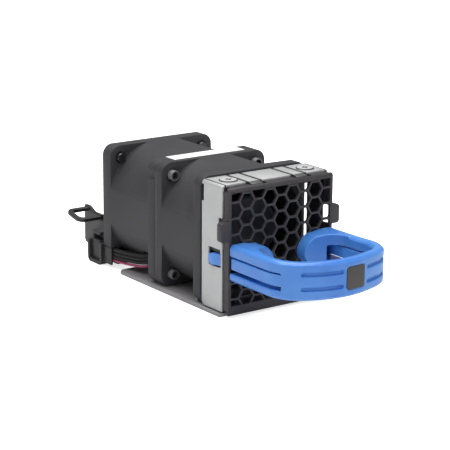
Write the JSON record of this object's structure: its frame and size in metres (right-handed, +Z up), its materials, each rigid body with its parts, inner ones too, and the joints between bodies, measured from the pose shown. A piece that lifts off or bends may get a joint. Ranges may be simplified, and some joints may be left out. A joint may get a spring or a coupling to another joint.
{
  "type": "server fan module",
  "caption": "Hot-swap fan module: two counter-rotating axial fans on a tray behind a honeycomb bezel, with loop handle, latches and rear plug.",
  "frame": {"origin": "on the tray's underside, at the middle of the module's width and of its length from the handle's front to the bracket's rear end", "axes": "+Y from the handle to the rear connector, along the fans' axis; +Z up from the tray; +X to the right seen from the handle"},
  "size_m": [0.0448, 0.1248, 0.0411],
  "materials": {
    "fan_plastic": "satin black glass-filled moulding",
    "rotor_plastic": "satin black moulding",
    "bezel_plastic": "fine-textured black moulding",
    "shell_steel": "zinc-plated sheet, lightly brushed",
    "tray_steel": "plated sheet, dull",
    "screw_steel": "plated, low-headed",
    "pin_steel": "bare rolled steel",
    "rivet_plastic": "black nylon",
    "handle_plastic": "semi-gloss blue flexible moulding",
    "badge_plastic": "matt dark inlay",
    "label_film": "matt white film",
    "shaft_steel": "ground",
    "bearing_steel": "polished",
    "spring_steel": "spring temper",
    "core_steel": "laminated, varnished",
    "copper_wire": "enamelled copper",
    "magnet_ferrite": "bonded ferrite",
    "board_laminate": "green solder mask",
    "lead_insulation": "red-pink insulation",
    "connector_plastic": "black moulding",
    "contact_metal": "gold-flashed"
  },
  "bodies": {
    "module": {"front_fan_frame": "fan_plastic", "front_circuit_board": "board_laminate", "front_stator_core": "core_steel", "front_windings": "copper_wire", "front_bearings": "bearing_steel", "front_preload_spring": "spring_steel", "front_bearing_spacer": "shaft_steel", "front_fan_leads": "lead_insulation", "rear_fan_frame": "fan_plastic", "rear_circuit_board": "board_laminate", "rear_stator_core": "core_steel", "rear_windings": "copper_wire", "rear_bearings": "bearing_steel", "rear_preload_spring": "spring_steel", "rear_bearing_spacer": "shaft_steel", "rear_fan_leads": "lead_insulation", "tray_plate": "tray_steel", "tray_pins": "pin_steel", "tray_rivets": "pin_steel", "joint_pins": "pin_steel", "rear_rivets": "rivet_plastic", "bezel": "bezel_plastic", "shell": "shell_steel", "shell_screws": "screw_steel", "handle_loop": "handle_plastic", "handle_badge": "badge_plastic", "handle_screws": "screw_steel", "joint_label": "label_film", "connector_bracket": "connector_plastic", "connector_housing": "connector_plastic", "connector_contacts": "contact_metal"},
    "front_rotor": {"front_impeller": "rotor_plastic", "front_rotor_yoke": "core_steel", "front_rotor_magnet": "magnet_ferrite", "front_shaft": "shaft_steel", "front_shaft_clip": "spring_steel"},
    "rear_rotor": {"rear_impeller": "rotor_plastic", "rear_rotor_yoke": "core_steel", "rear_rotor_magnet": "magnet_ferrite", "rear_shaft": "shaft_steel", "rear_shaft_clip": "spring_steel"},
    "latch_left": {"latch_tongue_left": "handle_plastic"},
    "latch_right": {"latch_tongue_right": "handle_plastic"}
  },
  "joints": [
    {"name": "front_rotor_spin", "type": "hinge", "parent": "module", "child": "front_rotor", "pos_m": [0, -0.00022, 0.021], "axis": [0, 1, 0], "continuous": true},
    {"name": "rear_rotor_spin", "type": "hinge", "parent": "module", "child": "rear_rotor", "pos_m": [0, 0.01978, 0.021], "axis": [0, -1, 0], "continuous": true},
    {"name": "latch_left_flex", "type": "hinge", "parent": "module", "child": "latch_left", "pos_m": [-0.0157, -0.05393, 0.0173], "axis": [0, 0, -1], "range_deg": [0, 3.5], "stiffness_Nm_per_rad": 2},
    {"name": "latch_right_flex", "type": "hinge", "parent": "module", "child": "latch_right", "pos_m": [0.0157, -0.05393, 0.0173], "axis": [0, 0, 1], "range_deg": [0, 3.5], "stiffness_Nm_per_rad": 2}
  ]
}
